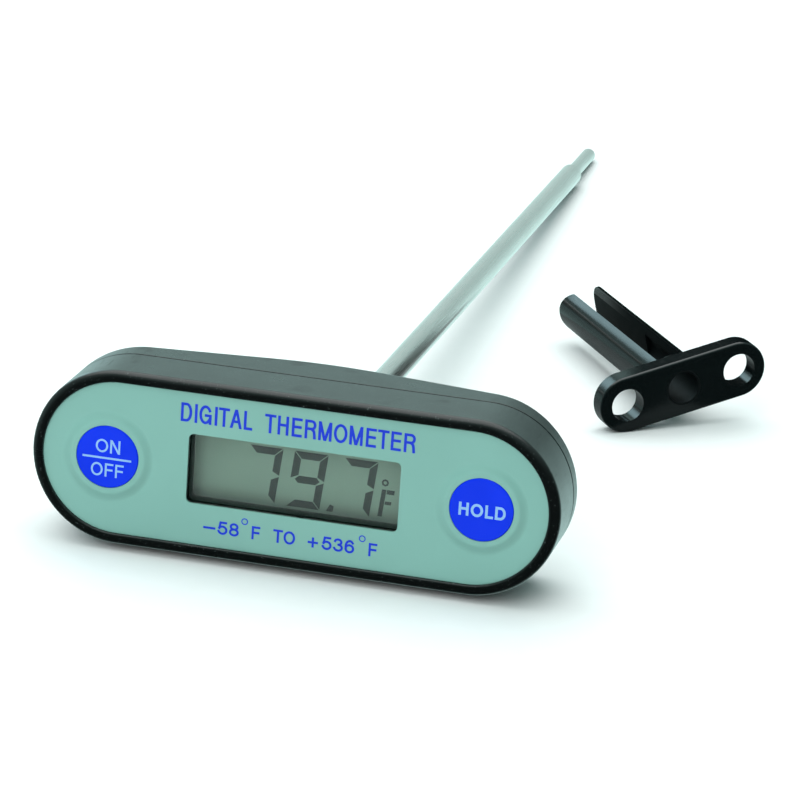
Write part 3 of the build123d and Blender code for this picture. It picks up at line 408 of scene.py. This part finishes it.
# Glyphs of a plain sans-serif: space before, width and space after, in cap heights, then their
# centre lines in a unit box. A slant is a straight stroke with level ends.
LEFT, RIGHT = [(0, 0), (0, 1)], [(1, 0), (1, 1)]
GLYPHS = {
    "A": (0.02, 0.89, 0.02, [[(0.2, 0.33), (0.8, 0.33)]], [((0.0, 0), (0.5, 1)), ((1, 0), (0.5, 1))]),
    "D": (0.11, 0.83, 0.07, [LEFT, [(0, 1), (0.42, 1)] + arc((0.5, 0.5), (0.5, 0.5), 90, -90)
                             + [(0.42, 0), (0, 0)]], []),
    "E": (0.12, 0.74, 0.07, [[(1, 1), (0, 1), (0, 0), (1, 0)], [(0, 0.53), (0.93, 0.53)]], []),
    "F": (0.12, 0.69, 0.04, [[(1, 1), (0, 1), (0, 0)], [(0, 0.51), (0.9, 0.51)]], []),
    "G": (0.07, 0.92, 0.10, [arc((0.5, 0.5), (0.5, 0.5), 32, 325), [(0.56, 0.46), (1, 0.46), (1, 0)]], []),
    "H": (0.11, 0.79, 0.11, [LEFT, RIGHT, [(0, 0.53), (1, 0.53)]], []),
    "I": (0.13, 0.135, 0.13, [[(0.5, 0), (0.5, 1)]], []),
    "L": (0.11, 0.64, 0.03, [[(0, 1), (0, 0), (1, 0)]], []),
    "M": (0.10, 0.96, 0.10, [LEFT, RIGHT], [((0.0, 1), (0.5, 0)), ((1, 1), (0.5, 0))]),
    "N": (0.11, 0.79, 0.11, [LEFT, RIGHT], [((0.0, 1), (1, 0))]),
    "O": (0.05, 0.97, 0.05, [arc((0.5, 0.5), (0.5, 0.5), 0, 360, 36)], []),
    "R": (0.12, 0.83, 0.05, [LEFT, [(0, 1), (0.6, 1)] + arc((0.62, 0.765), (0.36, 0.235), 88, -88)
                             + [(0.6, 0.53), (0, 0.53)],
                             [(0.66, 0.5), (0.88, 0.4), (0.94, 0.22), (0.98, 0)]], []),
    "T": (0.02, 0.81, 0.02, [[(0, 1), (1, 1)], [(0.5, 0), (0.5, 1)]], []),
    "3": (0.05, 0.68, 0.05, [arc((0.48, 0.765), (0.42, 0.235), 165, -80),
                             arc((0.5, 0.265), (0.5, 0.265), 80, -165)], []),
    "5": (0.05, 0.67, 0.05, [[(0.9, 1), (0.2, 1), (0.08, 0.5)],
                             arc((0.48, 0.325), (0.52, 0.325), 142, -160)], []),
    "6": (0.05, 0.67, 0.05, [arc((0.5, 0.31), (0.5, 0.31), 0, 360, 28),
                             arc((0.52, 0.5), (0.52, 0.5), 42, 200)], []),
    "8": (0.05, 0.67, 0.05, [arc((0.5, 0.765), (0.43, 0.235), 0, 360, 28),
                             arc((0.5, 0.265), (0.5, 0.265), 0, 360, 28)], []),
}


def ribbon(points, width):
    """The outline of a stroke along points: mitred at bends, square past its ends, or closed."""
    closed = math.dist(points[0], points[-1]) < 1e-6
    line = [Vector(p) for p in (points[:-1] if closed else points)]
    count = len(line)
    if not closed:
        line[0] += (line[0] - line[1]).normalized() * width / 2
        line[-1] += (line[-1] - line[-2]).normalized() * width / 2
    sides = ([], [])
    for i, point in enumerate(line):
        before = line[i] - line[i - 1] if closed or i else line[1] - line[0]
        after = line[(i + 1) % count] - line[i] if closed or i + 1 < count else before
        first, second = before.normalized(), after.normalized()
        across = Vector((-(first + second).y, (first + second).x)).normalized()
        reach = width / 2 / max(0.5, across.dot(Vector((-first.y, first.x))))
        sides[0].append(point + across * reach)
        sides[1].append(point - across * reach)
    steps = count if closed else count - 1
    faces = [(i, (i + 1) % count, count + (i + 1) % count, count + i) for i in range(steps)]
    return [(p.x, p.y) for p in sides[0] + sides[1]], faces


def flat_mesh(outlines):
    """One flat mesh of several outlines, each a hair above the one before."""
    points, faces = [], []
    for step, (corners, loops) in enumerate(outlines):
        faces += [tuple(len(points) + i for i in loop) for loop in loops]
        points += [(x, y, step % 8 * LAYER_STEP) for x, y in corners]
    mesh = bpy.data.meshes.new("letters")
    mesh.from_pydata(points, [], faces)
    return mesh


def letters(text, left, right, base, height, stroke):
    """Lettering that fills from left to right at a cap height, drawn with an even stroke."""
    glyphs = [GLYPHS[character] for character in text]
    natural = sum(sum(glyph[:3]) for glyph in glyphs) - glyphs[0][0] - glyphs[-1][2]
    stretch = (right - left) / natural
    outlines = []
    at = left - glyphs[0][0] * stretch
    for before, width, after, lines, slants in glyphs:
        start = at + before * stretch + stroke / 2
        span = max(0.0, width * stretch - stroke)
        rise = height - stroke
        for line in lines:
            path = [(start + u * span, base + stroke / 2 + v * rise) for u, v in line]
            outlines.append(ribbon(path, stroke))
        for (u0, v0), (u1, v1) in slants:
            x0, x1 = start + u0 * span, start + u1 * span
            half = stroke / 2 * math.hypot(x1 - x0, height) / height
            corners = [(x0 - half, base + v0 * height), (x0 + half, base + v0 * height),
                       (x1 + half, base + v1 * height), (x1 - half, base + v1 * height)]
            outlines.append((corners, [(0, 1, 2, 3)]))
        at += (before + width + after) * stretch
    return flat_mesh(outlines)


def ring(centre, radius, width, steps=28):
    """A flat ring in XY, for a degree sign."""
    made = bmesh.new()
    turns = [2 * math.pi * i / steps for i in range(steps)]
    rims = [
        [made.verts.new((centre[0] + r * math.cos(t), centre[1] + r * math.sin(t), 0)) for t in turns]
        for r in (radius - width, radius)
    ]
    for i in range(steps):
        j = (i + 1) % steps
        made.faces.new((rims[0][i], rims[1][i], rims[1][j], rims[0][j]))
    mesh = bpy.data.meshes.new("ring")
    made.to_mesh(mesh)
    made.free()
    return mesh


def polygon(points):
    """A flat polygon in XY."""
    mesh = bpy.data.meshes.new("polygon")
    mesh.from_pydata([(x, y, 0) for x, y in points], [], [range(len(points))])
    return mesh


def printed(name, flats, material, body, front_y, centre_x=0.0):
    """Joins flat meshes drawn in millimetres about the stem's height into one thin printed piece.

    Its back lies on front_y and it stands PRINT_T in front of it."""
    made = bmesh.new()
    for flat in flats:
        made.from_mesh(flat)
        bpy.data.meshes.remove(flat)
    bmesh.ops.remove_doubles(made, verts=made.verts, dist=1e-4)
    bmesh.ops.recalc_face_normals(made, faces=made.faces)
    for face in made.faces:
        if face.normal.z < 0:
            face.normal_flip()
    raised = bmesh.ops.extrude_face_region(made, geom=made.faces[:])
    lifted = [v for v in raised["geom"] if isinstance(v, bmesh.types.BMVert)]
    bmesh.ops.translate(made, verts=lifted, vec=(0, 0, PRINT_T / MM))
    bmesh.ops.recalc_face_normals(made, faces=made.faces)
    upright = Matrix(((MM, 0, 0, centre_x), (0, 0, -MM, front_y), (0, MM, 0, STEM_Z), (0, 0, 0, 1)))
    bmesh.ops.transform(made, matrix=upright, verts=made.verts)
    mesh = bpy.data.meshes.new(name)
    made.to_mesh(mesh)
    made.free()
    return mesh_piece(name, mesh, material, body)


# Title above the window, measurement range below it. Millimetres from the stem's axis.
TITLE_BASE, TITLE_HEIGHT = 6.93, 2.82
RANGE_BASE, RANGE_HEIGHT = -9.33, 2.0
DEGREE_R, DEGREE_LINE, DEGREE_Z = 0.50, 0.15, -6.85

TITLE_STROKE, RANGE_STROKE = 0.40, 0.33

printed(
    "print_title",
    [
        letters("DIGITAL", -17.05, -6.40, TITLE_BASE, TITLE_HEIGHT, TITLE_STROKE),
        letters("THERMOMETER", -4.60, 17.55, TITLE_BASE, TITLE_HEIGHT, TITLE_STROKE),
    ],
    INK_BLUE, "head", FACE_Y,
)
printed(
    "print_range",
    [
        flat_mesh([ribbon([(-12.7, -8.55), (-11.2, -8.55)], RANGE_STROKE)]),
        letters("58", -10.70, -7.52, RANGE_BASE, RANGE_HEIGHT, RANGE_STROKE),
        ring((-6.74, DEGREE_Z), DEGREE_R, DEGREE_LINE),
        letters("F", -5.62, -4.36, RANGE_BASE, RANGE_HEIGHT, RANGE_STROKE),
        letters("TO", -2.42, 0.86, RANGE_BASE, RANGE_HEIGHT, RANGE_STROKE),
        flat_mesh([
            ribbon([(2.9, -8.5), (4.1, -8.5)], RANGE_STROKE),
            ribbon([(3.5, -9.1), (3.5, -7.9)], RANGE_STROKE),
        ]),
        letters("536", 4.84, 9.64, RANGE_BASE, RANGE_HEIGHT, RANGE_STROKE),
        ring((10.71, DEGREE_Z), DEGREE_R, DEGREE_LINE),
        letters("F", 11.73, 12.99, RANGE_BASE, RANGE_HEIGHT, RANGE_STROKE),
    ],
    INK_BLUE, "head", FACE_Y,
)

# Legends on the keys, in millimetres from the key's middle.
LEGEND_BAR = 0.30
LEGEND_STROKE, HOLD_STROKE = 0.29, 0.38
printed(
    "on_off_legend",
    [
        letters("ON", -1.77, 1.92, 0.62, 2.02, LEGEND_STROKE),
        flat_mesh([ribbon([(-3.55, -0.18), (3.50, -0.18)], LEGEND_BAR)]),
        letters("OFF", -2.36, 2.57, -2.98, 2.02, LEGEND_STROKE),
    ],
    INK_WHITE, "on_off_key", KEY_FRONT["on_off_key"], KEY_X["on_off_key"],
)
printed(
    "hold_legend",
    [letters("HOLD", -3.27, 3.56, -1.10, 1.95, HOLD_STROKE)],
    INK_WHITE, "hold_key", KEY_FRONT["hold_key"], KEY_X["hold_key"],
)


# ---- Display digits ------------------------------------------------------------------------

DIGIT_BASE = -4.81
DIGIT_HEIGHT = 8.45
DIGIT_WIDTH = 5.0
BAR = 1.10                    # width of a segment
GAP = 0.09                    # half the gap between segments
SLANT = math.tan(math.radians(6.3))


def slanted(points, right_top, scale=1.0):
    """Moves points of a digit to where its top right corner is, leaning to the right."""
    height = DIGIT_HEIGHT * scale
    return [
        (right_top + x - DIGIT_WIDTH * scale - (height - y) * SLANT, DIGIT_BASE + y)
        for x, y in points
    ]


def segment(name):
    """The outline of one of the seven segments of an upright digit, from its lower left corner."""
    w, h, t = DIGIT_WIDTH, DIGIT_HEIGHT, BAR
    mid = h / 2
    return {
        "top": [(GAP, h), (w - GAP, h), (w - t - GAP, h - t), (t + GAP, h - t)],
        "bottom": [(GAP, 0), (t + GAP, t), (w - t - GAP, t), (w - GAP, 0)],
        "middle": [(t / 2 + GAP, mid), (t + GAP, mid + t / 2), (w - t - GAP, mid + t / 2),
                   (w - t / 2 - GAP, mid), (w - t - GAP, mid - t / 2), (t + GAP, mid - t / 2)],
        "upper_left": [(0, h - GAP), (t, h - t - GAP), (t, mid + t / 2 + GAP), (0, mid + GAP)],
        "upper_right": [(w, h - GAP), (w, mid + GAP), (w - t, mid + t / 2 + GAP), (w - t, h - t - GAP)],
        "lower_left": [(0, GAP), (0, mid - GAP), (t, mid - t / 2 - GAP), (t, t + GAP)],
        "lower_right": [(w, GAP), (w - t, t + GAP), (w - t, mid - t / 2 - GAP), (w, mid - GAP)],
    }[name]


DIGITS = {
    "7": ("top", "upper_right", "lower_right"),
    "9": ("top", "upper_left", "upper_right", "middle", "lower_right", "bottom"),
}
READING = (("7", -2.54), ("9", 4.16), ("7", 11.53))

figures = [polygon(slanted(segment(s), place)) for digit, place in READING for s in DIGITS[digit]]
# decimal point, and the unit's sign with its small degree mark
figures.append(polygon([(4.2, -4.78), (4.77, -3.7), (5.35, -3.9), (5.2, -4.78)]))
UNIT_X, UNIT_TOP, UNIT_W, UNIT_BAR = 11.83, -0.32, 1.9, 0.66
unit = [
    [(0, 0), (UNIT_BAR, 0), (UNIT_BAR, 4.1), (0, 4.1)],
    [(UNIT_BAR + 0.08, 4.1 - UNIT_BAR), (UNIT_W, 4.1 - UNIT_BAR), (UNIT_W, 4.1), (UNIT_BAR + 0.08, 4.1)],
    [(UNIT_BAR + 0.08, 1.85), (UNIT_W - 0.2, 1.85), (UNIT_W - 0.2, 2.35), (UNIT_BAR + 0.08, 2.35)],
]
for bar in unit:
    figures.append(polygon([(UNIT_X + x + y * SLANT, UNIT_TOP - 4.1 + y) for x, y in bar]))
figures.append(ring((12.70, 0.71), 0.55, 0.28, 8))
printed("display_figures", figures, SEGMENT_INK, "head", DISPLAY_Y)


# ---- Stage ---------------------------------------------------------------------------------

def bench():
    """A plain pale bench that the head's heel, the stem's tip and the clip rest on."""
    mesh = bpy.data.meshes.new("bench")
    half = 3.0
    mesh.from_pydata(
        [(-half, -half, 0), (half, -half, 0), (half, half, 0), (-half, half, 0)], [], [(0, 1, 2, 3)]
    )
    floor = bpy.data.objects.new("bench", mesh)
    floor.location = (0, HEEL_Y, 0)
    floor.rotation_euler = (BENCH_TILT, 0, 0)
    bpy.context.scene.collection.objects.link(floor)
    material, tree, shader = new_material("bench", Roughness=0.75)
    paper = noise(tree, 4 * MM, detail=3.0)
    tree.links.new(
        mix_colours(tree, paper, (0.90, 0.90, 0.90, 1), (0.93, 0.93, 0.93, 1)),
        shader.inputs["Base Color"],
    )
    mesh.materials.append(material)
    floor.visible_glossy = False


def soft_light(name, place, aim, size, power, mirrored=True, colour=(1, 1, 1)):
    """A soft box at a place, turned to a point; one that is not mirrored leaves no highlight."""
    data = bpy.data.lights.new(name, "AREA")
    data.shape = "RECTANGLE"
    data.size, data.size_y = size
    data.energy = power
    data.color = colour
    light = bpy.data.objects.new(name, data)
    light.location = place
    light.rotation_euler = (Vector(aim) - Vector(place)).to_track_quat("-Z", "Y").to_euler()
    light.visible_glossy = mirrored
    bpy.context.scene.collection.objects.link(light)


def surroundings(colour, front, back):
    """Light from all round: dim low in front of the head, bright behind, overhead and to the left."""
    world = bpy.data.worlds.new("surroundings")
    bpy.context.scene.world = world
    world.use_nodes = True
    tree = world.node_tree
    direction = add_node(tree, "ShaderNodeTexCoord").outputs["Generated"]
    parts = add_node(tree, "ShaderNodeSeparateXYZ", {"Vector": direction}).outputs
    behind = spread(tree, parts["Y"], front, back, 0.35, 0.9)
    lower = spread(tree, parts["Z"], 1.3, 0.75, -0.3, 0.3)
    overhead = spread(tree, parts["Z"], 0.0, 0.65, 0.2, 0.9)
    leftward = spread(tree, parts["X"], 0.5, 0.0, -0.95, -0.6)
    behind_and_lower = maths(tree, "MULTIPLY", behind, lower)
    total = maths(tree, "MAXIMUM", maths(tree, "MAXIMUM", behind_and_lower, overhead), leftward)
    background = tree.nodes["Background"]
    background.inputs["Color"].default_value = colour
    tree.links.new(total, background.inputs["Strength"])


def reflection_card(name, corners, first, second):
    """A matt card of two close tones that nothing shows except reflections."""
    mesh = bpy.data.meshes.new(name)
    mesh.from_pydata(corners, [], [(0, 1, 2, 3)])
    card = bpy.data.objects.new(name, mesh)
    bpy.context.scene.collection.objects.link(card)
    material, tree, shader = new_material(name, Roughness=1.0, Specular_IOR_Level=0.0)
    weave = noise(tree, 2 * MM, detail=2.0)
    tree.links.new(mix_colours(tree, weave, first, second), shader.inputs["Base Color"])
    mesh.materials.append(material)
    card.visible_camera = False
    card.visible_diffuse = False
    card.visible_shadow = False
    card.visible_transmission = False
    return card


def dark_flag():
    """A black card behind the clip that darkens the reflections in its upper edges."""
    low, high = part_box("stem_clip")
    y = low.y + 48 * MM
    left, right, bottom, top = high.x - 37 * MM, high.x + 10 * MM, low.z + 2 * MM, high.z + 30 * MM
    corners = [(left, y, bottom), (right, y, bottom), (right, y, top), (left, y, top)]
    card = reflection_card("dark_flag", corners, (0.004, 0.004, 0.004, 1), (0.008, 0.008, 0.008, 1))


def clip_shadow():
    """A grey card on the bench under the clip that dims the reflections in its underside."""
    low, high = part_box("stem_clip")
    left, right, front, back = low.x - 8 * MM, high.x, low.y - HEEL_Y, high.y + 14 * MM - HEEL_Y
    lift = 0.05 * MM
    corners = [(left, front, lift), (right, front, lift), (right, back, lift), (left, back, lift)]
    card = reflection_card("clip_shadow", corners, (0.22, 0.24, 0.24, 1), (0.28, 0.30, 0.30, 1))
    card.location = (0, HEEL_Y, 0)
    card.rotation_euler = (BENCH_TILT, 0, 0)


bench()
dark_flag()
clip_shadow()
surroundings((0.68, 1.0, 0.96, 1), 0.03, 1.2)
MIDDLE = (0.01, 0.05, 0.01)
CLIP_SPOT = (0.03, 0.08, 0.015)
soft_light("top_box", (-0.15, 0.20, 1.0), MIDDLE, (1.4, 1.4), 12.0)
soft_light("front_box", (-0.25, -1.0, 0.65), MIDDLE, (1.0, 1.0), 7.0, mirrored=False)
soft_light("left_box", (-0.40, 0.43, 0.24), CLIP_SPOT, (0.22, 0.22), 0.45, colour=(0.62, 0.92, 1.0))


def camera():
    """The photograph's viewpoint: from the right of the head's face and a little above it."""
    azimuth, elevation, roll = math.radians(12.854), math.radians(17.433), math.radians(3.884)
    forward = Vector((-math.sin(azimuth) * math.cos(elevation),
                      math.cos(azimuth) * math.cos(elevation), -math.sin(elevation)))
    level = Vector((math.cos(azimuth), math.sin(azimuth), 0))
    right = level * math.cos(roll) + level.cross(forward) * math.sin(roll)
    up = right.cross(forward)
    data = bpy.data.cameras.new("camera")
    data.lens = 180
    data.sensor_width = 36
    data.clip_start, data.clip_end = 0.01, 20
    made = bpy.data.objects.new("camera", data)
    turn = Matrix((right, up, -forward)).transposed().to_4x4()
    made.matrix_world = Matrix.Translation((0.1343, -0.5285, 0.1962)) @ turn
    bpy.context.scene.collection.objects.link(made)
    bpy.context.scene.camera = made


camera()
bpy.context.scene.view_settings.view_transform = "Standard"
